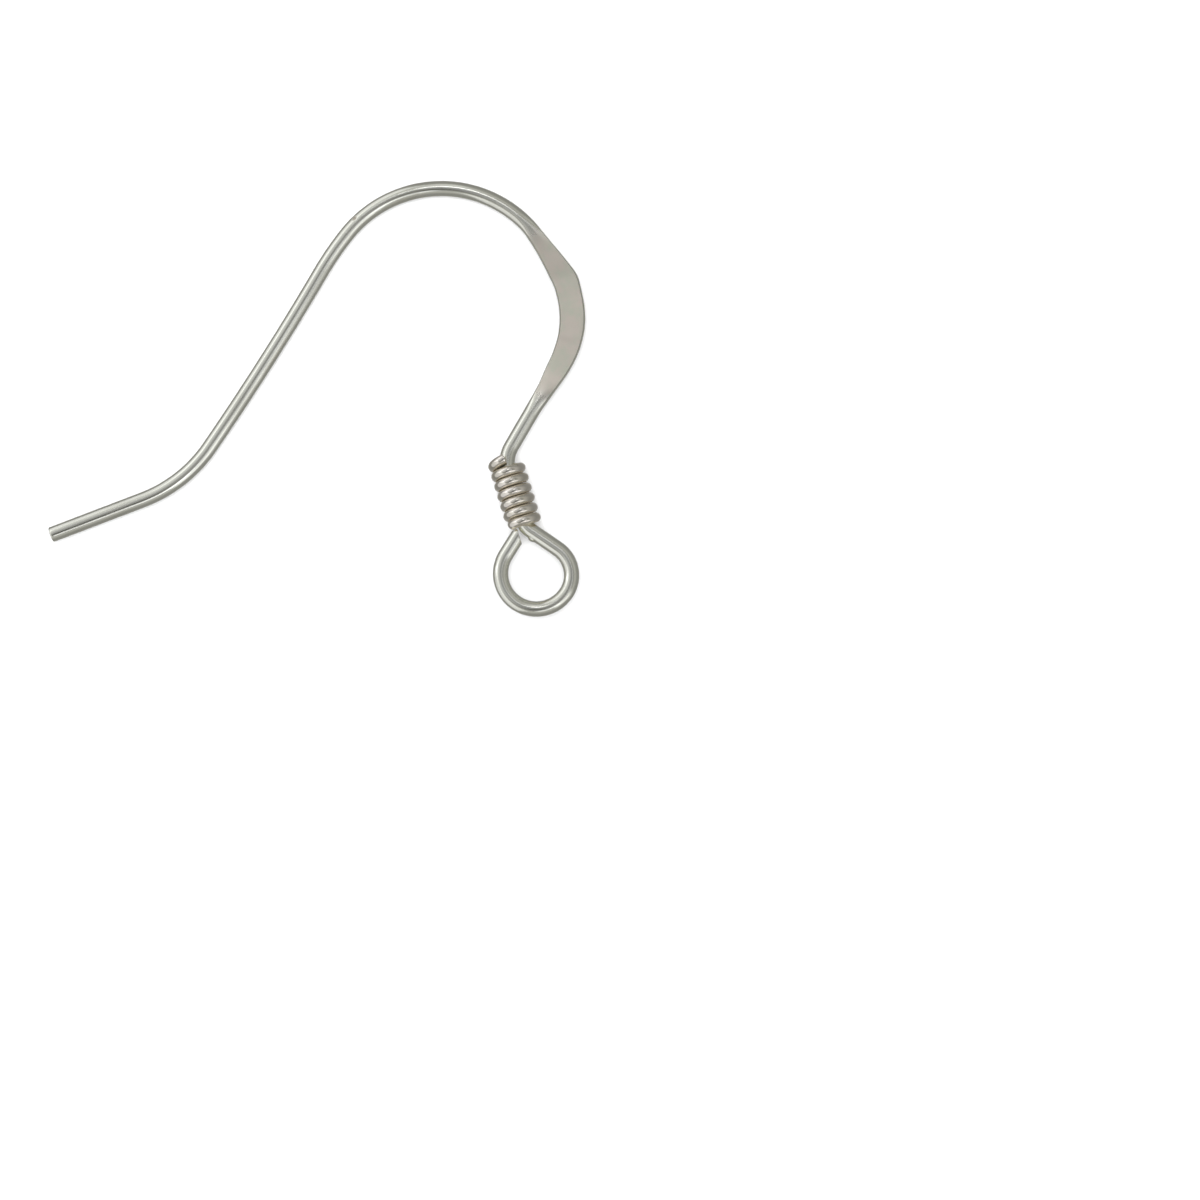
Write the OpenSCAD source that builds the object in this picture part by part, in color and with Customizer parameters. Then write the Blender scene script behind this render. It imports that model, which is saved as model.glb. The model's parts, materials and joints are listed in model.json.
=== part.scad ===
// Ear wire lying flat. One round wire is bent into a hook, hammered flat down its front and
// closed into an eye below. A finer wire is wound close round its neck, between hook and eye.
// The hook's plane is drawn first, with the neck along +Y, and then leaned onto its three feet.

/* [Wire] */
// Diameter of the round wire that the hook and eye are bent from
wire_d = 0.7; // [0.6:0.05:0.9]
// Chamfer round the cut end of the tail
tip_chamfer = 0.06; // [0.02:0.01:0.12]

/* [Tail and stem] */
// Length of the straight tail, which goes through the ear
tail_len = 4.5; // [3.5:0.1:8]
// Radius of the bend between tail and stem, along the wire's middle
kick_r = 6.4; // [4:0.1:10]
// Angle of the bend between tail and stem
kick_turn = 35; // [20:1:45]
// Length of the stem
stem_len = 9.5; // [6:0.1:14]
// Radius of the stem's slight bow
stem_r = 130; // [60:5:400]

/* [Arch] */
// Radius of the slack bend that leads from the stem into the arch
shoulder_r = 14.5; // [8:0.5:25]
// Angle of that slack bend
shoulder_turn = 8.5; // [4:0.5:15]
// Radius of the arch that the ear hangs on
arch_r = 5.45; // [4:0.05:8]
// Angle that the arch turns through
arch_turn = 103; // [85:1:120]

/* [Front] */
// Radius of the nearly straight run below the arch
brow_r = 18; // [10:1:40]
// Angle of that run
brow_turn = 6; // [3:0.5:12]
// Radius of the bend at the widest point of the front
bow_r = 4.35; // [3:0.05:6]
// Angle of that bend
bow_turn = 62.5; // [50:0.5:70]
// Length of the straight run that slants back to the neck
slant_len = 4.35; // [3:0.05:6]
// Radius of the bend into the neck
neck_r = 1.5; // [1.2:0.05:3]
// Angle of the bend into the neck
neck_turn = 47; // [35:1:55]

/* [Hammered flat] */
// Round wire left between the neck bend and the flat
flat_start = 2.4; // [1:0.05:3]
// Length of the hammered stretch along the wire
flat_len = 8.75; // [6:0.05:10]
// Width of the flat at its widest
flat_w = 1.22; // [0.9:0.02:1.5]
// Thickness of the flat at its thinnest
flat_t = 0.36; // [0.28:0.02:0.5]

/* [Eye] */
// Inner diameter of the eye that a drop hangs from
eye_d = 2.56; // [2:0.02:4]
// How far the eye's middle lies to the stem's side of the neck
eye_offset = 0.12; // [0:0.02:0.3]
// Room between the coil and the eye's full circle
eye_room = 0.21; // [0.05:0.01:0.6]
// Radius of the bend that leads out of the coil, along the wire's middle
lead_r = 0.84; // [0.7:0.02:1.2]
// How much tighter than the rest the eye's lead side is bent
cheek_tighter = 0.16; // [0:0.02:0.3]
// Angle below level at which the lead side meets the rest of the eye
cheek_from = 55; // [30:1:70]
// Slope of the run that closes the eye
close_slope = 41; // [35:1:50]
// Gap between the eye's cut end and the line of the neck's side
close_gap = 0.02; // [0.02:0.01:0.1]

/* [Coil] */
// Diameter of the finer wire wound round the neck
coil_wire_d = 0.42; // [0.3:0.01:0.5]
// Number of turns, whose last end lies in front of the neck
coil_turns = 6.17; // [4.17:1:9.17]
// Gap between one turn and the next
turn_gap = 0.055; // [0.02:0.005:0.15]
// How far each turn is levelled in front of the neck, which leaves it steeper behind
front_level = 0.075; // [0:0.005:0.09]
// Clearance between the coil and the neck inside it
coil_clear = 0.03; // [0.02:0.01:0.1]
// How far the coil's last end is sprung up from its turn
end_lift = 0.1; // [0:0.01:0.15]
// Gap between the coil and the eye's cut end
coil_gap = 0.05; // [0.03:0.01:0.2]

/* [Hidden] */
$fn = 64;

// The hammered stretch from neck to arch, in shares of flat_len and of the full widening.
// Columns: place along the stretch, how far it is hammered out there.
HAMMERED = [
    [0.00, 0.00],
    [0.09, 0.16],
    [0.18, 0.64],
    [0.30, 0.84],
    [0.42, 0.95],
    [0.64, 1.00],
    [0.76, 0.77],
    [0.88, 0.30],
    [1.00, 0.00],
];
// Half the width of the window that the widening is averaged over, as a share of flat_len
hammer_ease = 0.03;
// Sides of the hammered section, and rings along the hammered stretch
flat_sides = 24;
flat_rings = 44;
// Where two runs of the wire meet, one reaches this far into the other, this far under its skin
seam_lap = 0.03;
seam_inset = 0.002;
// Sides of the coil's wire, and rings in one turn of the coil
coil_sides = 12;
coil_rings = 24;
// Step between the places that the resting pose is worked out from
probe = 0.05;

wire_r = wire_d / 2;
coil_wire_r = coil_wire_d / 2;
coil_r = wire_r + coil_clear + coil_wire_r;
pitch = coil_wire_d + turn_gap;
// The neck stays straight from just above the coil's first end to one pitch under its last
neck_foot = 0.32 * pitch;
neck_len = pitch * (coil_turns - 1) - neck_foot;
coil_top = neck_len + pitch;
// Height of the coil's wire where it has turned by an angle, counted back from its last end
function coil_height(a) = coil_top + pitch * a / 360 - front_level * sin(a);
function coil_rise(a) = atan((pitch / (2 * PI) - front_level * cos(a)) / coil_r);
coil_low = coil_height(-360 * coil_turns) - coil_wire_r;

// A run of wire is [its length, the angle that it turns to the left], and a pose is [x, y, heading].
function bend(r, turn) = [r * abs(turn) * PI / 180, turn];
function after(p, run) =
    let (h = p[2], a = run[1], r = a == 0 ? 0 : run[0] / (a * PI / 180))
    a == 0
        ? [p.x + run[0] * cos(h), p.y + run[0] * sin(h), h]
        : [p.x + r * (sin(h + a) - sin(h)), p.y - r * (cos(h + a) - cos(h)), h + a];
function but_first(runs) = [for (i = [1:1:len(runs) - 1]) runs[i]];
function length_of(runs) = len(runs) == 0 ? 0 : runs[0][0] + length_of(but_first(runs));
function share_of(run, part) = [part, run[1] * part / run[0]];
function pose_at(runs, s, p) =
    len(runs) == 0 || s == 0 ? p
    : s >= runs[0][0] ? pose_at(but_first(runs), s - runs[0][0], after(p, runs[0]))
    : after(p, share_of(runs[0], s));
// The runs, or the parts of them, that lie between two places along the wire
function between(runs, from, to, s = 0) =
    len(runs) == 0 ? []
    : let (part = min(to, s + runs[0][0]) - max(from, s))
    concat(
        part > 0 ? [share_of(runs[0], part)] : [],
        between(but_first(runs), from, to, s + runs[0][0])
    );

// From the neck up over the arch to the tail's end
upper_start = [0, neck_len, 90];
kick = bend(kick_r, -kick_turn);
UPPER = [
    bend(neck_r, -neck_turn),
    [slant_len, 0],
    bend(bow_r, bow_turn),
    bend(brow_r, brow_turn),
    bend(arch_r, arch_turn),
    bend(shoulder_r, shoulder_turn),
    [stem_len, -stem_len / stem_r * 180 / PI],
    kick,
    [tail_len - tip_chamfer, 0],
];
upper_len = length_of(UPPER);
flat_from = UPPER[0][0] + flat_start;
flat_to = flat_from + flat_len;

// The eye: its middle, and that of its lead side, which touches it from within
eye_r = eye_d / 2 + wire_r;
cheek_r = eye_r - cheek_tighter;
eye_mid = [-eye_offset, coil_low - eye_room - eye_r - wire_r];
cheek_mid = eye_mid + cheek_tighter * [cos(cheek_from), -sin(cheek_from)];
// The straight lead touches the bend out of the coil on one side and the lead side on the other
lead_way = cheek_mid - [lead_r, 0];
lead_heading = atan2(lead_way.y, lead_way.x) + asin((lead_r + cheek_r) / norm(lead_way));
lead_len = sqrt(norm(lead_way) ^ 2 - (lead_r + cheek_r) ^ 2);
cheek_end = -cheek_from - 90;
lower_start = [0, 0, -90];
LOWER = [
    bend(lead_r, lead_heading + 90),
    [lead_len, 0],
    bend(cheek_r, cheek_end - lead_heading),
    bend(eye_r, close_slope - 360 - cheek_end),
];
close_start = pose_at(LOWER, length_of(LOWER), lower_start);
close_x = -wire_r - close_gap;
close_y = coil_low - coil_gap;
close_len = (close_x - close_start.x + wire_r * sin(close_slope)) / cos(close_slope);

// How far the wire is hammered out at a place along the upper runs, from 0 to 1
function hammered(s) =
    let (u = (s - flat_from) / flat_len)
    (lookup(u - hammer_ease, HAMMERED) + lookup(u, HAMMERED) + lookup(u + hammer_ease, HAMMERED)) / 3;
function width_at(s) = wire_d + (flat_w - wire_d) * hammered(s);
function thickness_at(s) = wire_d - (wire_d - flat_t) * hammered(s);

// Two flat faces between round sides, which is a circle where the wire isn't hammered
function flat_section(w, t) = [
    for (k = [0:flat_sides - 1])
        let (a = 360 * (k + 0.5) / flat_sides)
        [t / 2 * cos(a) + sign(cos(a)) * (w - t) / 2, t / 2 * sin(a)]
];
function ring_at(p, section) = [
    for (q = section) [p.x - q.x * sin(p[2]), p.y + q.x * cos(p[2]), q.y]
];

// A tube through rings of equally many points, closed by a flat face at each end
module skin(rings) {
    n = len(rings[0]);
    m = len(rings);
    polyhedron(
        points = [for (ring = rings) each ring],
        faces = concat(
            [[for (k = [0:n - 1]) k]],
            [
                for (i = [0:m - 2], k = [0:n - 1])
                    let (j = (k + 1) % n)
                    each [
                        [i * n + k, (i + 1) * n + k, (i + 1) * n + j],
                        [i * n + k, (i + 1) * n + j, i * n + j],
                    ]
            ],
            [[for (k = [n - 1:-1:0]) (m - 1) * n + k]]
        )
    );
}

// One run of round wire, from the origin along +X. A seamed run reaches into its neighbours.
module round_run(run, seamed) {
    lap = seamed ? seam_lap : 0;
    d = seamed ? wire_d - 2 * seam_inset : wire_d;
    if (run[1] == 0) {
        translate([-lap, 0, 0]) rotate([0, 90, 0]) cylinder(h = run[0] + 2 * lap, d = d);
    } else {
        r = run[0] / (abs(run[1]) * PI / 180);
        lap_angle = lap / r * 180 / PI;
        mirror([0, run[1] < 0 ? 1 : 0, 0])
            translate([0, r, 0])
                rotate(-90 - lap_angle)
                    rotate_extrude(angle = abs(run[1]) + 2 * lap_angle)
                        translate([r, 0]) circle(d = d);
    }
}

// The runs end to end, every other one seamed, and whatever comes after the last of them
module round_wire(runs, seamed = false) {
    if (len(runs) == 0) {
        children();
    } else {
        round_run(runs[0], seamed);
        end = after([0, 0, 0], runs[0]);
        translate([end.x, end.y, 0]) rotate(end[2])
            round_wire(but_first(runs), !seamed) children();
    }
}

module at_pose(p) {
    translate([p.x, p.y, 0]) rotate(p[2]) children();
}

module tail_end() {
    rotate([0, 90, 0]) cylinder(h = tip_chamfer, r1 = wire_r, r2 = wire_r - tip_chamfer);
}

module hammered_stretch() {
    round_end = flat_section(wire_d - 2 * seam_inset, wire_d - 2 * seam_inset);
    skin(concat(
        [ring_at(pose_at(UPPER, flat_from - seam_lap, upper_start), round_end)],
        [ring_at(pose_at(UPPER, flat_from, upper_start), round_end)],
        [
            for (i = [1:flat_rings - 1])
                let (s = flat_from + flat_len * i / flat_rings)
                ring_at(pose_at(UPPER, s, upper_start), flat_section(width_at(s), thickness_at(s)))
        ],
        [ring_at(pose_at(UPPER, flat_to, upper_start), round_end)],
        [ring_at(pose_at(UPPER, flat_to + seam_lap, upper_start), round_end)]
    ));
}

// The run that closes the eye, cut off square to the coil and flush with the neck's side
module closing_run() {
    difference() {
        round_run([close_len, 0], true);
        rotate(-close_slope) translate([-close_start.x, -close_start.y, -wire_d]) {
            translate([close_x, close_y - eye_d, 0]) cube([eye_d, 2 * eye_d, 2 * wire_d]);
            translate([close_x - eye_d, close_y, 0]) cube([2 * eye_d, eye_d, 2 * wire_d]);
        }
    }
}

module flat_ear_hook() {
    rotate([-90, 0, 0]) cylinder(h = neck_len, d = wire_d);
    at_pose(upper_start) round_wire(between(UPPER, 0, flat_from), true);
    hammered_stretch();
    at_pose(pose_at(UPPER, flat_to, upper_start))
        round_wire(between(UPPER, flat_to, upper_len)) tail_end();
    at_pose(lower_start) round_wire(LOWER, true) closing_run();
}

module flat_neck_coil() {
    // Turned from the last end, in front of the neck, down to the first
    steps = round(coil_turns * coil_rings);
    skin([
        for (i = [0:steps])
            let (
                a = -360 * coil_turns * i / steps,
                rise = coil_rise(a),
                y = coil_height(a) + end_lift * max(0, 1 + a / 90) ^ 2
            )
            [
                for (k = [0:coil_sides - 1])
                    let (
                        b = 360 * k / coil_sides,
                        out = coil_r + coil_wire_r * cos(b),
                        side = coil_wire_r * sin(b)
                    )
                    [
                        out * sin(a) - side * sin(rise) * cos(a),
                        y + side * cos(rise),
                        out * cos(a) + side * sin(rise) * sin(a),
                    ]
            ]
    ]);
}

// The resting pose. The wire lies on the tail's end, on the arch and on the back of the coil's
// last whole turn, so the plane through their lowest places is the ground.
function in_plane(p) = [p.x, p.y, 0];
upper_probes = [for (s = [0:probe:upper_len]) [pose_at(UPPER, s, upper_start), width_at(s) / 2]];
lower_probes = [
    for (s = [0:probe:length_of(LOWER)]) [pose_at(LOWER, s, lower_start), wire_r]
];
tail_foot = in_plane(pose_at(UPPER, upper_len, upper_start));
function seen_from_tail(p) = atan2(p.y - tail_foot.y, p.x - tail_foot.x);
before_kick = upper_len - tail_len - kick[0];
arch_places = [
    for (i = [0:len(upper_probes) - 1]) if (i * probe < before_kick) upper_probes[i][0]
];
arch_angle = max([for (p = arch_places) seen_from_tail(p)]);
arch_foot = in_plane([for (p = arch_places) if (seen_from_tail(p) == arch_angle) p][0]);
coil_foot = [0, coil_top - pitch / 2, wire_r - coil_wire_r - coil_r];

function unit(v) = v / norm(v);
up = unit(cross(coil_foot - tail_foot, arch_foot - tail_foot));
across = unit([1, 0, 0] - up.x * up);
along = cross(up, across);
ground = up * tail_foot - wire_r;
edge_probes = concat(upper_probes, lower_probes);
x_reach = [for (q = edge_probes, side = [-1, 1]) across * in_plane(q[0]) + side * q[1]];
y_reach = [for (q = edge_probes, side = [-1, 1]) along * in_plane(q[0]) + side * q[1]];
x_mid = (max(x_reach) + min([for (q = edge_probes) across * in_plane(q[0])])) / 2;
y_mid = (max(y_reach) + min(y_reach)) / 2;

module at_rest() {
    multmatrix([
        [across.x, across.y, across.z, -x_mid],
        [along.x, along.y, along.z, -y_mid],
        [up.x, up.y, up.z, -ground],
    ])
        children();
}

module ear_hook() {
    color([0.78, 0.77, 0.74]) at_rest() flat_ear_hook();
}

module neck_coil() {
    color([0.70, 0.67, 0.60]) at_rest() flat_neck_coil();
}

ear_hook();
neck_coil();
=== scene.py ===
import bpy
import bmesh
import json
import math
from mathutils import Matrix, Vector, noise


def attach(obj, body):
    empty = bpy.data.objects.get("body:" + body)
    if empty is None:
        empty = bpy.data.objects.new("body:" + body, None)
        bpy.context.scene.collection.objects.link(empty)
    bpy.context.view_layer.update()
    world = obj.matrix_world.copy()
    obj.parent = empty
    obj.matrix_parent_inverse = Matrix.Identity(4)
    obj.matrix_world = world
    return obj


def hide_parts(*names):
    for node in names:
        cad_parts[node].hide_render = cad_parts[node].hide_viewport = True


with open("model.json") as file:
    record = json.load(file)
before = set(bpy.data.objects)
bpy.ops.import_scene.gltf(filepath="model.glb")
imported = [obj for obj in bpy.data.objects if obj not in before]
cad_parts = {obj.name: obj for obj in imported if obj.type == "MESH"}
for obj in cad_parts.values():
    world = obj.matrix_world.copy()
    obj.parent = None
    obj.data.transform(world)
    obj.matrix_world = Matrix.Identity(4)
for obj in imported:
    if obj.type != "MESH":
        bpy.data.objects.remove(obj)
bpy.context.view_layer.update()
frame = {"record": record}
print("frame: loaded")

# Everything is bent and wound in millimetres with the neck along +Y, and laid down at the end.
metre = 1000.0

# The finer wire wound round the neck
neckCoil = {
    "wire": 0.45,
    "turns": 6.17,
    "gap": 0.025,          # between turns
    "clear": 0.02,         # round the neck
    "frontLevel": 0.075,   # how far each turn is levelled in front, which leaves it steeper behind
    "endLift": 0.10,       # the last end is sprung up
    "endLiftTurn": 90,     # over this last part of its winding
    "sides": 32,
    "ringsPerTurn": 64,
    "cutEase": 0.035,      # the rounded edge of a cut end
    "unevenness": 0.012,
    "unevenTurn": 150,     # the turn between one unevenness and the next
    "smoothUnder": 50,     # edges that turn less than this are shaded smooth
}

# The round wire, from the neck up: neck bend, slant, bow, brow, arch, shoulder, stem, kick, tail.
# A bend is a radius and a turn in degrees, and the stem is a length and the radius of its bow.
earHook = {
    "wire": 0.7,
    "sides": 56,
    "ringStep": 0.10,      # the most that two rings lie apart, in millimetres and in degrees
    "ringTurn": 3.0,
    "neckFoot": 0.32,      # how far the coil's first end reaches under the neck, in turns of the coil
    "neckBend": (1.5, -47),
    "slant": 4.35,
    "bow": (4.35, 62.5),
    "brow": (18, 6),
    "arch": (5.45, 103),
    "shoulder": (14.5, 8.5),
    "stem": (9.5, 130),
    "kick": (6.4, -35),
    "tail": 4.5,
    "tipEase": 0.06,
    "smoothUnder": 35,
}

# The stretch of the front that is hammered flat
hammered = {
    "start": 2.4,          # after the neck's bend
    "length": 8.75,
    "width": 1.22,
    "thickness": 0.36,
    "faceShare": 0.87,     # of the width, and the rest is its two rounded edges
    "faceTurn": 45,        # the round wire's skin that stands steeper than this becomes an edge
    # shares of the stretch's length, of the widening inside and outside the bow and of the
    # thinning, and how flat the face is
    "columns": ("place", "inside", "outside", "thinning", "flatness"),
    "table": [
        (-0.07, 0.00, 0.00, 0.00, 0.00),
        (-0.02, 0.00, 0.06, 0.10, 0.20),
        (0.04, 0.00, 0.26, 0.26, 0.58),
        (0.09, 0.06, 0.43, 0.40, 0.90),
        (0.18, 0.45, 0.74, 0.72, 1.00),
        (0.28, 0.70, 0.83, 0.88, 1.00),
        (0.42, 0.87, 0.93, 0.95, 1.00),
        (0.60, 0.98, 0.79, 1.00, 1.00),
        (0.68, 0.91, 0.98, 1.00, 1.00),
        (0.74, 0.96, 0.56, 0.91, 1.00),
        (0.88, 0.42, 0.10, 0.56, 0.97),
        (0.95, 0.20, 0.00, 0.34, 0.72),
        (1.02, 0.00, 0.00, 0.12, 0.30),
        (1.09, 0.00, 0.00, 0.00, 0.00),
    ],
    "ease": 0.022,         # the table's corners are rounded over this share of the length
    "unevenness": 0.010,
    "blowRate": 1.7,       # how fast the thickness and the edges waver along the wire
    "edgeRate": 1.3,
}

# The eye under the coil
eye = {
    "inside": 2.56,
    "offset": 0.12,        # of its middle from the neck
    "room": 0.195,         # under the coil
    "lead": 0.84,          # the bend out of the coil
    "cheekTighter": 0.16,  # the lead side's circle is this much smaller
    "cheekFrom": 55,       # and meets the eye's own this many degrees below its right
    "closeSlope": 41,      # of the closing run, in degrees
    "closeRun": 1.4,       # its length before it is cut
    "closeGap": 0.02,      # beside the neck
    "cutEase": 0.02,
    "burr": (-0.85, -0.34, 0.06),    # where pliers raised a burr on the lead: along, across and up
    "burrSteps": ((0.16, 0.025), (0.11, 0.03), (0.07, 0.02)),    # each a reach and a rise
    "burrRings": 4,        # no ring of the wire further off than this is touched
}


def deselectAll():
    if bpy.context.mode != "OBJECT":
        bpy.ops.object.mode_set(mode="OBJECT")
    bpy.ops.object.select_all(action="DESELECT")


def openRing(name, radius, sides, at, turned):
    # an open ring of wire, selected in edit mode and ready to be drawn out
    deselectAll()
    bpy.ops.mesh.primitive_circle_add(
        vertices=sides, radius=radius, fill_type="NOTHING", location=at, rotation=turned)
    piece = bpy.context.object
    piece.name = name
    bpy.ops.object.transform_apply(location=True, rotation=True, scale=True)
    bpy.ops.object.mode_set(mode="EDIT")
    bpy.ops.mesh.select_mode(type="VERT")
    bpy.ops.mesh.select_all(action="SELECT")
    return piece


def choose(piece, find):
    # selects the vertices that are found, in edit mode
    bpy.ops.mesh.select_all(action="DESELECT")
    mesh = bmesh.from_edit_mesh(piece.data)
    mesh.verts.ensure_lookup_table()
    for vertex in find(mesh.verts):
        vertex.select = True
    mesh.select_flush(True)
    bmesh.update_edit_mesh(piece.data)


def pick(piece, wanted):
    # by a test of each vertex's number and place
    choose(piece, lambda vertices: [v for v in vertices if wanted(v.index, v.co)])


def pickRing(piece, numbers):
    choose(piece, lambda vertices: [vertices[number] for number in numbers])


def headed(angle, length=1.0):
    return Vector((math.cos(math.radians(angle)), math.sin(math.radians(angle)), 0)) * length


class Route:
    # the wire's middle as it is drawn out: how far along it each ring is, its point and heading
    def __init__(self, heading, sign=1):
        self.at, self.along = Vector((0, 0, 0)), 0.0
        self.heading, self.sign = heading, sign
        self.rings = [(self.along, self.at, heading)]

    def note(self, point, heading, length):
        self.at, self.heading = point, heading
        self.along += self.sign * length
        self.rings.append((self.along, point, heading))

    def straight(self, length, step):
        count = max(1, math.ceil(length / step))
        move = headed(self.heading, length / count)
        for _ in range(count):
            bpy.ops.mesh.extrude_region_move(TRANSFORM_OT_translate={"value": move})
            self.note(self.at + move, self.heading, length / count)

    def bend(self, radius, turn, step, ringTurn):
        length = radius * math.radians(abs(turn))
        count = max(1, math.ceil(length / step), math.ceil(abs(turn) / ringTurn))
        side = 90 if turn > 0 else -90
        middle = self.at + headed(self.heading + side, radius)
        # spin turns clockwise about +Z, so a left turn is a negative angle
        bpy.ops.mesh.spin(steps=count, angle=-math.radians(turn), center=middle, axis=(0, 0, 1))
        start = self.heading
        for i in range(1, count + 1):
            heading = start + turn * i / count
            self.note(middle - headed(heading + side, radius), heading, length / count)


pitch = neckCoil["wire"] + neckCoil["gap"]
wireRadius = earHook["wire"] / 2
coilWireRadius = neckCoil["wire"] / 2
coilRadius = wireRadius + neckCoil["clear"] + coilWireRadius
neckLength = pitch * (neckCoil["turns"] - 1 - earHook["neckFoot"])
coilTop = neckLength + pitch


def coilHeight(angle):
    # of the coil's middle where it has turned by an angle, counted back from its last end
    level = neckCoil["frontLevel"] * math.sin(math.radians(angle))
    return coilTop + pitch * angle / 360 - level


coilLow = coilHeight(-360 * neckCoil["turns"]) - coilWireRadius

# the eye's circle, the tighter circle of its lead side and the straight that touches both bends
eyeRadius = eye["inside"] / 2 + wireRadius
cheekRadius = eyeRadius - eye["cheekTighter"]
eyeMiddle = Vector((-eye["offset"], coilLow - eye["room"] - eyeRadius - wireRadius, 0))
cheekMiddle = eyeMiddle + headed(-eye["cheekFrom"], eye["cheekTighter"])
leadWay = cheekMiddle - Vector((eye["lead"], 0, 0))
leadReach = eye["lead"] + cheekRadius
leadHeading = math.degrees(math.atan2(leadWay.y, leadWay.x) + math.asin(leadReach / leadWay.length))
leadLength = math.sqrt(leadWay.length ** 2 - leadReach ** 2)
cheekEnd = -eye["cheekFrom"] - 90


def easeEnd(at, way, ease, radius, note=None):
    # a cut end: its edge is rounded over in three short steps, and the last ring is filled
    steps = (0, 28, 60, 90)
    for before, after in zip(steps, steps[1:]):
        a, b = math.radians(before), math.radians(after)
        move = way * ease * (math.sin(b) - math.sin(a))
        at = at + move
        narrower = (radius - ease * (1 - math.cos(b))) / (radius - ease * (1 - math.cos(a)))
        bpy.ops.mesh.extrude_region_move(TRANSFORM_OT_translate={"value": move})
        bpy.ops.transform.resize(value=(narrower,) * 3, center_override=at)
        if note:
            note(at, move.length)
    bpy.ops.mesh.edge_face_add()


def bendUpper(route):
    # neck, front, arch, stem and tail
    step, ringTurn = earHook["ringStep"], earHook["ringTurn"]
    stemLength, stemRadius = earHook["stem"]
    route.straight(neckLength, step * 2)
    route.bend(*earHook["neckBend"], step, ringTurn)
    route.straight(earHook["slant"], step)
    for name in ("bow", "brow", "arch", "shoulder"):
        route.bend(*earHook[name], step, ringTurn)
    route.bend(stemRadius, -math.degrees(stemLength / stemRadius), step * 2, ringTurn)
    route.bend(*earHook["kick"], step, ringTurn)
    route.straight(earHook["tail"] - earHook["tipEase"], step * 2)
    easeEnd(route.at, headed(route.heading), earHook["tipEase"], wireRadius,
            lambda at, length: route.note(at, route.heading, length))


def bendLower(route):
    # the lead out of the coil, round the eye and back up to the neck's side
    step, ringTurn = earHook["ringStep"], earHook["ringTurn"]
    route.bend(eye["lead"], leadHeading + 90, step, ringTurn)
    route.straight(leadLength, step)
    route.bend(cheekRadius, cheekEnd - leadHeading, step, ringTurn)
    route.bend(eyeRadius, eye["closeSlope"] - 360 - cheekEnd, step, ringTurn)
    closeFrom = len(route.rings)
    route.straight(eye["closeRun"], step)
    return closeFrom


def waver(place, *seed):
    # smooth noise along a wire, from -1 to 1, and other seeds give other noise
    return noise.noise(Vector((place, *seed)))


def shareAt(name, place):
    # one column of the hammering table, averaged over a short window so that it has no corners
    column = hammered["columns"].index(name)

    def read(u):
        table = hammered["table"]
        for low, high in zip(table, table[1:]):
            if low[0] <= u <= high[0]:
                part = (u - low[0]) / (high[0] - low[0])
                return low[column] + (high[column] - low[column]) * part
        return 0.0

    ease = hammered["ease"]
    return sum(read(place + ease * k / 2) for k in (-2, -1, 0, 1, 2)) / 5


def hammer(hook, rings, flatFrom):
    # each ring's top and bottom are pressed flat, and its two sides are spread and left round
    sides, radius = earHook["sides"], wireRadius
    thinning = radius - hammered["thickness"] / 2
    widening = hammered["width"] / 2 - radius
    turn = math.radians(hammered["faceTurn"])
    roundX, roundZ = radius * math.cos(turn), radius * math.sin(turn)
    slack = 0.005    # a vertex this near to the corner counts as on it
    faces = {}
    for i, (along, at, heading) in enumerate(rings):
        share = (along - flatFrom) / hammered["length"]
        if not hammered["table"][0][0] < share < hammered["table"][-1][0]:
            continue
        outward = headed(heading - 90)
        mesh = bmesh.from_edit_mesh(hook.data)
        mesh.verts.ensure_lookup_table()
        numbers = range(i * sides, (i + 1) * sides)
        off = {n: mesh.verts[n].co - at for n in numbers}
        flat = shareAt("flatness", share)
        blow = waver(along * hammered["blowRate"], 3.1, 0) * hammered["unevenness"]
        top = radius - (thinning + blow) * shareAt("thinning", share)
        edgeZ = top * (flat + (1 - flat) * math.sin(turn))
        edgeX = {}
        for side, name in ((1, "outside"), (-1, "inside")):
            uneven = waver(along * hammered["edgeRate"], side * 7.7, 5) * hammered["unevenness"]
            half = radius + (widening + uneven) * shareAt(name, share)
            edgeX[side] = half * (flat * hammered["faceShare"] + (1 - flat) * math.cos(turn))
            narrower = (half - edgeX[side]) / (radius - roundX)
            pickRing(hook, [n for n in numbers if off[n].dot(outward) * side > roundX - slack])
            bpy.ops.transform.resize(
                value=(narrower, narrower, edgeZ / roundZ), center_override=at + outward * side * radius)
            bpy.ops.transform.translate(value=outward * side * (half - radius))
        wider = (edgeX[1] + edgeX[-1]) / (2 * roundX)
        crown = (top - edgeZ) / (radius - roundZ)
        for side in (1, -1):
            pickRing(hook, [n for n in numbers if off[n].z * side > roundZ + slack])
            foot = Vector((0, 0, side * roundZ))
            bpy.ops.transform.resize(value=(wider, wider, crown), center_override=at + foot)
            bpy.ops.transform.translate(
                value=outward * (edgeX[1] - edgeX[-1]) / 2 + Vector((0, 0, side * (edgeZ - roundZ))))
        faces.update((n, flat) for n in numbers if abs(off[n].z) > roundZ - slack)
    return faces


def raiseBurr(hook, rings):
    # the vertices round one place on the wire are pulled out in a few ever smaller steps
    along, across, up = eye["burr"]
    nearest = min(range(len(rings)), key=lambda i: abs(rings[i][0] - along))
    _, at, heading = rings[nearest]
    foot = headed(heading + 90) * across + Vector((0, 0, up))
    for reach, rise in eye["burrSteps"]:
        pick(hook, lambda number, co: (co - at - foot).length < reach
             and abs(number // earHook["sides"] - nearest) < eye["burrRings"])
        bpy.ops.transform.translate(value=foot.normalized() * rise)


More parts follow.
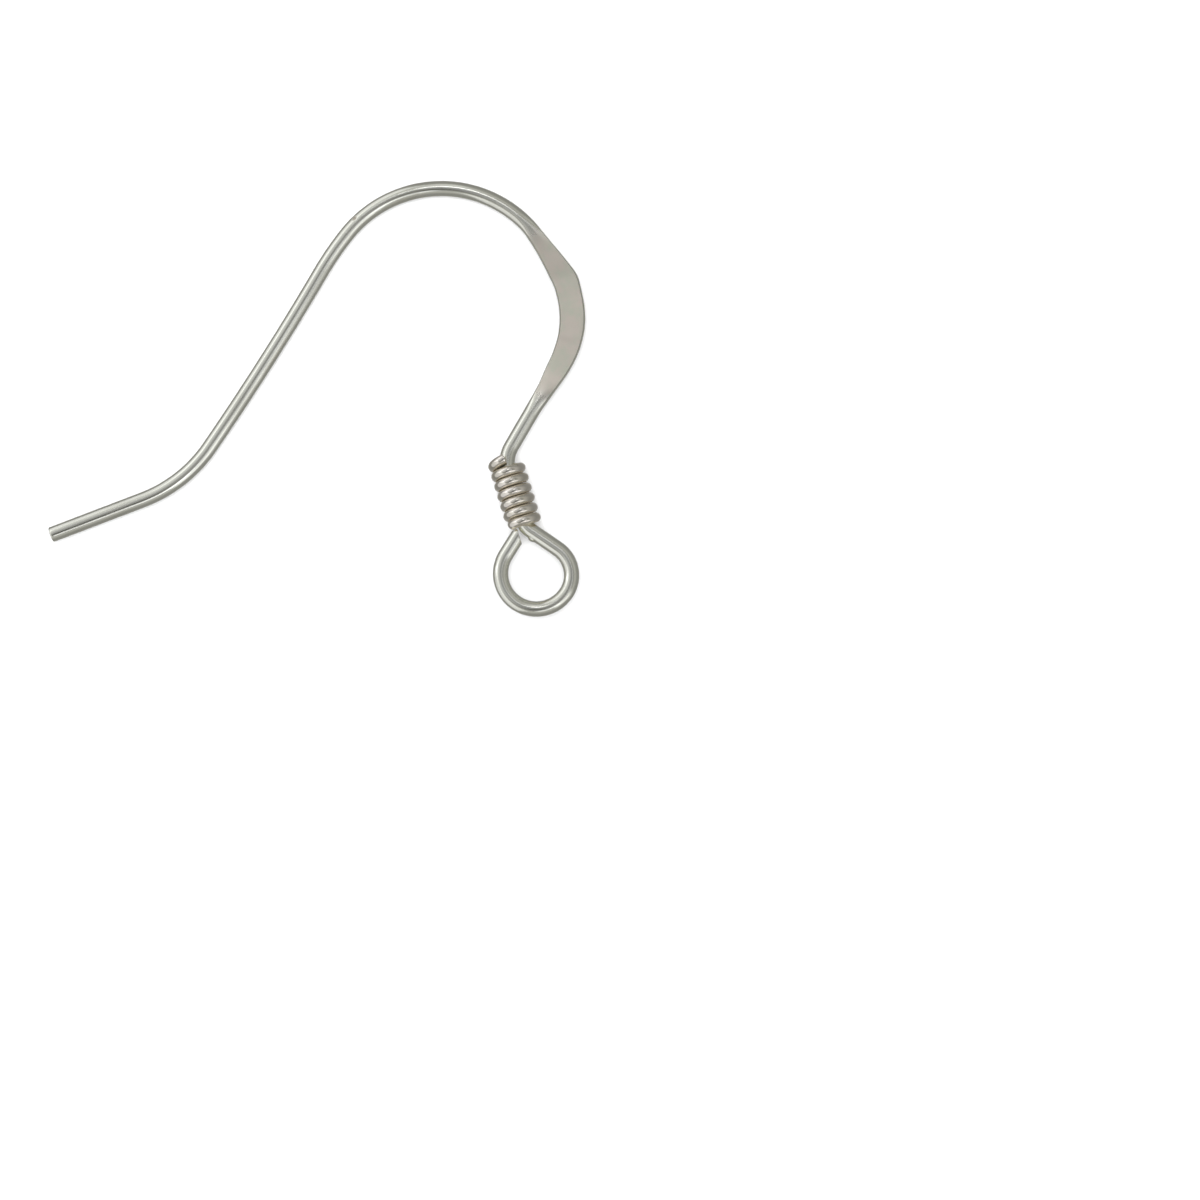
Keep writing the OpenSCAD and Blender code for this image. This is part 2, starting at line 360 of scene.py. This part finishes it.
def cutEye(hook, firstNumber):
    # the closing run is cut off beside the neck and under the coil, and the cut's edge is eased
    closeX = -wireRadius - eye["closeGap"]
    slack = 1e-4

    def near(co):
        return closeX - eye["closeRun"] < co.x < closeX + slack and co.y > coilLow - eye["closeRun"]

    def onCut(co):
        return abs(co.x - closeX) < slack or abs(co.y - coilLow) < slack

    pick(hook, lambda number, co: number >= firstNumber)
    bpy.ops.mesh.bisect(plane_co=(closeX, 0, 0), plane_no=(1, 0, 0), clear_outer=True, use_fill=True)
    pick(hook, lambda number, co: near(co) and co.y < 0 and number >= firstNumber - 1)
    bpy.ops.mesh.bisect(plane_co=(0, coilLow, 0), plane_no=(0, 1, 0), clear_outer=True, use_fill=True)
    pick(hook, lambda number, co: near(co) and onCut(co))
    bpy.ops.mesh.bevel(offset=eye["cutEase"], segments=2, affect="EDGES", clamp_overlap=True)


def writeDrawn(piece, places):
    # each vertex remembers where it lay on the straight wire: along, across and up, in millimetres
    bpy.ops.object.mode_set(mode="OBJECT")
    for name, kind in (("drawn", "FLOAT_VECTOR"), ("worked", "FLOAT")):
        piece.data.attributes.new(name, kind, "POINT")
    drawn, worked = (piece.data.attributes[name].data for name in ("drawn", "worked"))
    for i, (along, across, up, share) in enumerate(places):
        drawn[i].vector = (along, across, up)
        worked[i].value = share
    bpy.ops.object.mode_set(mode="EDIT")


def closeUp(piece, smoothUnder):
    # joins what meets, turns every face outward and shades the round parts smooth
    bpy.ops.mesh.select_all(action="SELECT")
    bpy.ops.mesh.remove_doubles(threshold=1e-5)
    bpy.ops.mesh.normals_make_consistent(inside=False)
    bpy.ops.object.mode_set(mode="OBJECT")
    bpy.ops.object.shade_smooth_by_angle(angle=math.radians(smoothUnder))


def layDown(piece):
    # from millimetres on the flat bench to the resting pose, which the record's eye mount gives
    mount = next(m for m in frame["record"]["mounts"] if m["name"] == "eye")
    up = Vector(mount["axis"]).normalized()
    across = Vector((up.z, 0, -up.x)).normalized()
    turn = Matrix((across, up.cross(across), up)).transposed().to_4x4()
    toPlace = Matrix.Translation(Vector(mount["pos_m"]))
    piece.matrix_world = toPlace @ turn @ Matrix.Scale(1 / metre, 4) @ Matrix.Translation(-eyeMiddle)
    deselectAll()
    piece.select_set(True)
    bpy.context.view_layer.objects.active = piece
    bpy.ops.object.transform_apply(location=True, rotation=True, scale=True)


def makeEarHook():
    sides = earHook["sides"]
    hook = openRing("earHook", wireRadius, sides, (0, 0, 0), (math.radians(90), 0, 0))
    upper, lower = Route(90), Route(-90, sign=-1)
    bendUpper(upper)
    pickRing(hook, range(sides))
    closeFrom = bendLower(lower)
    bend = earHook["neckBend"]
    flatFrom = neckLength + bend[0] * math.radians(abs(bend[1])) + hammered["start"]
    faces = hammer(hook, upper.rings, flatFrom)
    rings = upper.rings + lower.rings[1:]
    raiseBurr(hook, rings)
    bpy.ops.object.mode_set(mode="OBJECT")

    def place(vertex):
        along, at, heading = rings[vertex.index // sides]
        off = vertex.co - at
        flat = faces.get(vertex.index, 0.0)
        return along + off.dot(headed(heading)), off.dot(headed(heading + 90)), off.z, flat

    writeDrawn(hook, [place(vertex) for vertex in hook.data.vertices])
    closeRing = len(upper.rings) + closeFrom - 2    # the eye's last, as both routes share their first
    cutEye(hook, closeRing * sides)
    closeUp(hook, earHook["smoothUnder"])
    layDown(hook)
    print("earHook:", len(hook.data.polygons), "faces")
    return hook


def makeNeckCoil():
    sides, turns = neckCoil["sides"], neckCoil["turns"]
    steps = round(turns * neckCoil["ringsPerTurn"])
    rise = math.atan(pitch / (2 * math.pi * coilRadius))
    # a ring of the finer wire is set on the coil's first end and wound up round the neck
    at = Vector((0, coilTop - pitch * turns, coilRadius))
    coil = openRing("neckCoil", coilWireRadius, sides, at, (0, math.radians(90), 0))
    bpy.ops.transform.rotate(value=-rise, orient_axis="Z", center_override=at)
    bpy.ops.object.mode_set(mode="OBJECT")
    coil.rotation_euler = (0, math.radians(-360 * turns), 0)
    bpy.ops.object.transform_apply(location=False, rotation=True, scale=False)
    winding = coil.modifiers.new("winding", "SCREW")
    winding.axis = "Y"
    winding.angle = math.radians(360 * turns)
    winding.screw_offset = pitch * turns
    winding.steps = winding.render_steps = steps
    winding.use_merge_vertices = False
    bpy.ops.object.modifier_apply(modifier="winding")

    def middleAt(angle):
        a = math.radians(angle)
        height = coilTop + pitch * angle / 360
        return Vector((coilRadius * math.sin(a), height, coilRadius * math.cos(a)))

    def place(vertex):
        angle = 360 * turns * (vertex.index // sides / steps - 1)
        off = vertex.co - middleAt(angle)
        outward = Vector((math.sin(math.radians(angle)), 0, math.cos(math.radians(angle))))
        return math.radians(angle) * coilRadius, off.dot(outward), off.y, 0.0

    writeDrawn(coil, [place(vertex) for vertex in coil.data.vertices])
    shifts = []
    for i in range(steps + 1):
        angle = 360 * turns * (i / steps - 1)
        lift = neckCoil["endLift"] * max(0, 1 + angle / neckCoil["endLiftTurn"]) ** 2
        sway = waver(angle / neckCoil["unevenTurn"], 1.3, 9) * neckCoil["unevenness"]
        shifts.append(coilHeight(angle) - coilTop - pitch * angle / 360 + lift + sway)
        pickRing(coil, range(i * sides, (i + 1) * sides))
        bpy.ops.transform.translate(value=(0, shifts[-1], 0))
    # both ends are cut square
    for i, sign in ((0, -1), (steps, 1)):
        angle = 360 * turns * (i / steps - 1)
        a = math.radians(angle)
        way = Vector((math.cos(a) * math.cos(rise), math.sin(rise), -math.sin(a) * math.cos(rise)))
        pickRing(coil, range(i * sides, (i + 1) * sides))
        middle = middleAt(angle) + Vector((0, shifts[i], 0))
        easeEnd(middle, way * sign, neckCoil["cutEase"], coilWireRadius)
    closeUp(coil, neckCoil["smoothUnder"])
    layDown(coil)
    print("neckCoil:", len(coil.data.polygons), "faces")
    return coil


hook = makeEarHook()
coil = makeNeckCoil()


class Wave:
    # a shader value that Python's operators turn into Math nodes
    def __init__(self, finish, socket):
        self.finish, self.socket = finish, socket

    def math(self, operation, *values):
        return self.finish.node("ShaderNodeMath", {"operation": operation}, dict(enumerate(values)))

    def __add__(self, other):
        return self.math("ADD", self, other)

    def __radd__(self, other):
        return self.math("ADD", other, self)

    def __sub__(self, other):
        return self.math("SUBTRACT", self, other)

    def __rsub__(self, other):
        return self.math("SUBTRACT", other, self)

    def __mul__(self, other):
        return self.math("MULTIPLY", self, other)

    def __rmul__(self, other):
        return self.math("MULTIPLY", other, self)

    def __truediv__(self, other):
        return self.math("DIVIDE", self, other)

    def __rtruediv__(self, other):
        return self.math("DIVIDE", other, self)

    def __abs__(self):
        return self.math("ABSOLUTE", self)

    def above(self, low, high):
        # 0 below low, 1 above high, and smooth between them
        return self.finish.node(
            "ShaderNodeMapRange", {"interpolation_type": "SMOOTHSTEP"},
            {"Value": self, "From Min": low, "From Max": high})


class Finish:
    # a material or a world whose nodes are made by one method
    def __init__(self, owner):
        self.owner = owner
        owner.use_nodes = True
        self.tree = owner.node_tree
        self.tree.nodes.clear()

    def node(self, kind, settings=None, inputs=None, output=0):
        # the settings come first, and each input is a link or a value
        made = self.tree.nodes.new(kind)
        for key, value in (settings or {}).items():
            if key == "stops":
                self.setStops(made.color_ramp, value)
            else:
                setattr(made, key, value)
        for key, value in (inputs or {}).items():
            if isinstance(value, Wave):
                self.tree.links.new(value.socket, made.inputs[key])
            else:
                made.inputs[key].default_value = value
        return Wave(self, made.outputs[output]) if made.outputs else None

    def setStops(self, ramp, stops):
        for i, (place, colour) in enumerate(stops):
            stop = ramp.elements[i] if i < 2 else ramp.elements.new(place)    # a new ramp has two
            stop.position, stop.color = place, colour

    def attribute(self, name, output):
        return self.node("ShaderNodeAttribute", {"attribute_name": name}, output=output)

    def vector(self, operation, first, second, output=0):
        return self.node("ShaderNodeVectorMath", {"operation": operation}, {0: first, 1: second}, output)

    def grain(self, vector, scale, detail=2.0, roughness=0.5):
        return self.node("ShaderNodeTexNoise", {}, {
            "Vector": vector, "Scale": scale, "Detail": detail, "Roughness": roughness})

    def lines(self, drawn, scale):
        # fine lines that drawing left, long the wire's way and narrow across it
        return self.grain(self.vector("MULTIPLY", drawn, scale), 1.0, detail=3.0, roughness=0.6)

    def patches(self, drawn, scale):
        return self.grain(drawn, scale).above(0.35, 0.75)

    def mixed(self, factor, first, second):
        return self.node("ShaderNodeMix", {"data_type": "RGBA"}, {
            0: factor, 6: first, 7: second}, output=2)

    def finished(self, colour, roughness, relief, depth, metallic=1.0):
        normal = self.node("ShaderNodeBump", {}, {
            "Height": relief, "Strength": 0.5, "Distance": depth})
        shader = self.node("ShaderNodeBsdfPrincipled", {}, {
            "Base Color": colour, "Metallic": metallic, "Roughness": roughness, "Normal": normal})
        self.node("ShaderNodeOutputMaterial", {}, {"Surface": shader})
        return self.owner


# the middle of a noise texture's values
grainMiddle = 0.5

# The hook's silver: drawn wire with lines along it, frosted where it was hammered.
# Each grain has a scale, in waves to the millimetre, and its part in the roughness and the relief.
hookSilver = {
    "bright": (0.91, 0.91, 0.815, 1),
    "dull": (0.78, 0.77, 0.67, 1),
    "frosted": (0.94, 0.865, 0.75, 1),
    "bloom": (0.86, 0.85, 0.71, 1),
    "roughness": 0.16,
    "frostedRoughness": 0.36,
    "workedRange": (0.15, 1.0),      # how flat the wire is where the frosting begins and is full
    "patchScale": 0.55,
    "patchDull": 0.45,
    "patchRoughness": 0.07,
    "lineScale": (0.25, 16, 16),
    "lineRoughness": 0.10,
    "lineRelief": 1.2,
    "bloomScale": 1.1,
    "bloomRange": (0.38, 0.66),
    "frostScale": 9.0,
    "frostRoughness": 0.16,
    "frostRelief": 0.8,
    "dentScale": 1.6,
    "dentRelief": 1.6,
    "reliefDepth": 0.000004,
    "nick": (23.61, -0.20, 0.28),    # on the shoulder: along, across and up on the straight wire
    "nickReach": 0.12,
    "nickRange": (0.4, 1.3),         # of the reach, from its full depth to none
    "nickColour": (0.42, 0.36, 0.27, 1),
    "nickTint": 0.7,
    "nickRelief": 8,
}


def hookFinish():
    made = Finish(bpy.data.materials.new("hookSilver"))
    drawn = made.attribute("drawn", 1)
    worked = made.attribute("worked", 2)
    face = worked.above(*hookSilver["workedRange"])
    lines = made.lines(drawn, hookSilver["lineScale"])
    patches = made.patches(drawn, hookSilver["patchScale"])
    bloom = made.grain(drawn, hookSilver["bloomScale"], detail=3.0, roughness=0.6)
    bloom = bloom.above(*hookSilver["bloomRange"])
    frost = made.grain(drawn, hookSilver["frostScale"], detail=4.0, roughness=0.65)
    dents = made.grain(drawn, hookSilver["dentScale"], detail=1.0)
    away = made.vector("DISTANCE", drawn, hookSilver["nick"], output=1)
    nick = 1 - (away / hookSilver["nickReach"]).above(*hookSilver["nickRange"])
    colour = made.mixed(patches * hookSilver["patchDull"], hookSilver["bright"], hookSilver["dull"])
    frosted = made.mixed(bloom, hookSilver["frosted"], hookSilver["bloom"])
    colour = made.mixed(face, colour, frosted)
    colour = made.mixed(nick * hookSilver["nickTint"], colour, hookSilver["nickColour"])
    roughness = hookSilver["roughness"] + patches * hookSilver["patchRoughness"]
    roughness = roughness + (lines - grainMiddle) * hookSilver["lineRoughness"]
    rise = hookSilver["frostedRoughness"] - hookSilver["roughness"]
    roughness = roughness + face * (rise + (frost - grainMiddle) * hookSilver["frostRoughness"])
    hammering = frost * hookSilver["frostRelief"] + dents * hookSilver["dentRelief"]
    relief = lines * (1 - face) * hookSilver["lineRelief"] + face * hammering
    relief = relief - nick * hookSilver["nickRelief"]
    return made.finished(colour, roughness, relief, hookSilver["reliefDepth"])


# The coil's silver: a little warmer, and dark with tarnish in the grooves between its turns
coilSilver = {
    "bright": (0.89, 0.84, 0.76, 1),
    "dull": (0.70, 0.66, 0.53, 1),
    "tarnish": (0.44, 0.38, 0.27, 1),
    "tarnishMetal": 0.5,
    "tarnishRoughness": 0.25,
    "grooveRange": (0.74, 1.0),      # of the wire's radius, from its crown to where the turns meet
    "grooveScale": 2.4,
    "grooveMottle": 0.12,
    "roughness": 0.10,
    "patchScale": 1.1,
    "patchDull": 0.6,
    "patchRoughness": 0.05,
    "lineScale": (0.6, 22, 22),
    "lineRoughness": 0.06,
    "reliefDepth": 0.000003,
}


def coilFinish():
    made = Finish(bpy.data.materials.new("coilSilver"))
    drawn = made.attribute("drawn", 1)
    side = abs(made.node("ShaderNodeSeparateXYZ", {}, {0: drawn}, output=2))
    mottle = made.grain(drawn, coilSilver["grooveScale"], detail=3.0)
    mottle = (mottle - grainMiddle) * coilSilver["grooveMottle"]
    groove = (side / coilWireRadius + mottle).above(*coilSilver["grooveRange"])
    patches = made.patches(drawn, coilSilver["patchScale"])
    lines = made.lines(drawn, coilSilver["lineScale"])
    colour = made.mixed(patches * coilSilver["patchDull"], coilSilver["bright"], coilSilver["dull"])
    colour = made.mixed(groove, colour, coilSilver["tarnish"])
    roughness = coilSilver["roughness"] + patches * coilSilver["patchRoughness"]
    roughness = roughness + groove * coilSilver["tarnishRoughness"]
    roughness = roughness + (lines - grainMiddle) * coilSilver["lineRoughness"]
    metallic = 1 - groove * (1 - coilSilver["tarnishMetal"])
    return made.finished(colour, roughness, lines, coilSilver["reliefDepth"], metallic)


hook.data.materials.append(hookFinish())
coil.data.materials.append(coilFinish())
for piece, node, slot in ((hook, "ear_hook", "hook_wire"), (coil, "neck_coil", "coil_wire")):
    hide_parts(node)
    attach(piece, "root")
print("finishes: done")

# The floor, pale and plain. The silver doesn't mirror it: the room's brightness from below does that.
floor = {"side": 3.0, "colour": (0.86, 0.86, 0.86, 1), "roughness": 0.9}


def makeFloor():
    deselectAll()
    bpy.ops.mesh.primitive_plane_add(size=floor["side"], location=(0, 0, 0))
    plane = bpy.context.object
    plane.name = "paleFloor"
    made = Finish(bpy.data.materials.new("paleFloor"))
    shader = made.node("ShaderNodeBsdfPrincipled", {}, {
        "Base Color": floor["colour"], "Roughness": floor["roughness"], "Specular IOR Level": 0.0})
    made.node("ShaderNodeOutputMaterial", {}, {"Surface": shader})
    plane.data.materials.append(made.owner)
    plane.visible_glossy = False


# The photograph's view: nearly straight down, from slightly on the eye's side, and turned
photoView = {
    "aim": (0.00982, -0.01034, 0.0),
    "distance": 0.25,
    "tilt": 4.0,
    "turned": 16.95,     # the picture's up is this far clockwise from the neck
    "focal": 5492 * 36 / 1200,    # of 5492 pixels, where 36 mm of film is 1200 pixels wide
    "clip": (0.01, 10),
}


def makeCamera():
    tilt, turned = math.radians(photoView["tilt"]), math.radians(photoView["turned"])
    back = Vector((0, -math.sin(tilt), math.cos(tilt)))
    up = Vector((math.sin(turned), math.cos(turned), 0))
    up = (up - back * up.dot(back)).normalized()
    camera = bpy.data.objects.new("camera", bpy.data.cameras.new("camera"))
    camera.data.lens = photoView["focal"]
    camera.data.clip_start, camera.data.clip_end = photoView["clip"]
    turn = Matrix((up.cross(back), up, back)).transposed().to_4x4()
    at = Vector(photoView["aim"]) + back * photoView["distance"]
    camera.matrix_world = Matrix.Translation(at) @ turn
    bpy.context.scene.collection.objects.link(camera)
    bpy.context.scene.camera = camera


# Soft boxes round the silver. Each has the way that it stands in, as turned from the picture's
# right, its angle from the camera, its width and height as seen from the silver, all in degrees,
# and its brightness.
softBoxes = {
    "leftBox": (139, 79, 64, 46, 0.52),
    "lowLeftBox": (-157, 74, 78, 62, 0.43),
    "overLeftBox": (149, 42, 49, 66, 0.26),
    "rightBox": (-42, 38, 27, 47, 0.53),
    "lowRightBox": (-74, 32, 29, 17, 0.70),
    "farRightBox": (-29, 63, 13, 52, 0.16),
    "farBox": (96, 45, 13, 48, 0.25),
    "overBox": (46, 18, 36, 17, 0.34),
    "lamp": (104, 30, 6, 6, 2.9),
}
studio = {
    "boxDistance": 0.6,
    "boxColour": (0.97, 0.98, 1.05),
    "roomTint": 0.97,      # the share of blue
    "floorLight": {"side": 0.8, "height": 0.9, "brightness": 6.0},
    "backdrop": (1.0, 1.0, 1.0, 1),
    # the room's brightness from below the silver, place 0, to above it, place 1
    "room": [(0.0, 0.42), (0.18, 0.27), (0.46, 0.25), (0.63, 0.31), (0.82, 0.46),
             (0.94, 0.24), (0.989, 0.05), (1.0, 0.32)],
}


def makeLight(name, size, depth, brightness, at):
    light = bpy.data.lights.new(name, "AREA")
    light.shape = "RECTANGLE"
    light.size, light.size_y = size, depth
    light.energy = brightness * math.pi * size * depth    # so the brightness holds at any size
    lamp = bpy.data.objects.new(name, light)
    lamp.location = at
    lamp.rotation_euler = (-Vector(at)).to_track_quat("-Z", "Y").to_euler()
    lamp.visible_camera = False
    bpy.context.scene.collection.objects.link(lamp)
    return lamp


def makeStudio():
    # the boxes stand round the way from the silver to the camera
    camera = bpy.context.scene.camera.matrix_world
    back = camera.translation.normalized()
    right = camera.to_3x3().col[1].cross(back).normalized()
    view = Matrix((right, back.cross(right), back)).transposed()
    for name, (azimuth, fromCamera, wide, high, brightness) in softBoxes.items():
        way, off = math.radians(azimuth), math.radians(fromCamera)
        out = Vector((math.cos(way) * math.sin(off), math.sin(way) * math.sin(off), math.cos(off)))
        width, height = (2 * studio["boxDistance"] * math.tan(math.radians(a / 2)) for a in (wide, high))
        lamp = makeLight(name, width, height, brightness, view @ out * studio["boxDistance"])
        lamp.data.color = studio["boxColour"]
    over = studio["floorLight"]
    above = Vector((0, 0, over["height"]))
    wash = makeLight("floorLight", over["side"], over["side"], over["brightness"], above)
    wash.visible_glossy = False
    made = Finish(bpy.data.worlds.new("studio"))
    height = made.vector("DOT_PRODUCT", made.node("ShaderNodeTexCoord"), back, output=1)
    stops = [(place, (v, v, v * studio["roomTint"], 1)) for place, v in studio["room"]]
    room = made.node("ShaderNodeValToRGB", {"stops": stops}, {0: (height + 1) / 2})
    dome = made.node("ShaderNodeBackground", {}, {"Color": room})
    backdrop = made.node("ShaderNodeBackground", {}, {"Color": studio["backdrop"]})
    seen = made.node("ShaderNodeLightPath")
    both = made.node("ShaderNodeMixShader", {}, {0: seen, 1: dome, 2: backdrop})
    made.node("ShaderNodeOutputWorld", {}, {"Surface": both})
    bpy.context.scene.world = made.owner


makeFloor()
makeCamera()
makeStudio()
bpy.context.scene.view_settings.view_transform = "Standard"
print("studio: done")
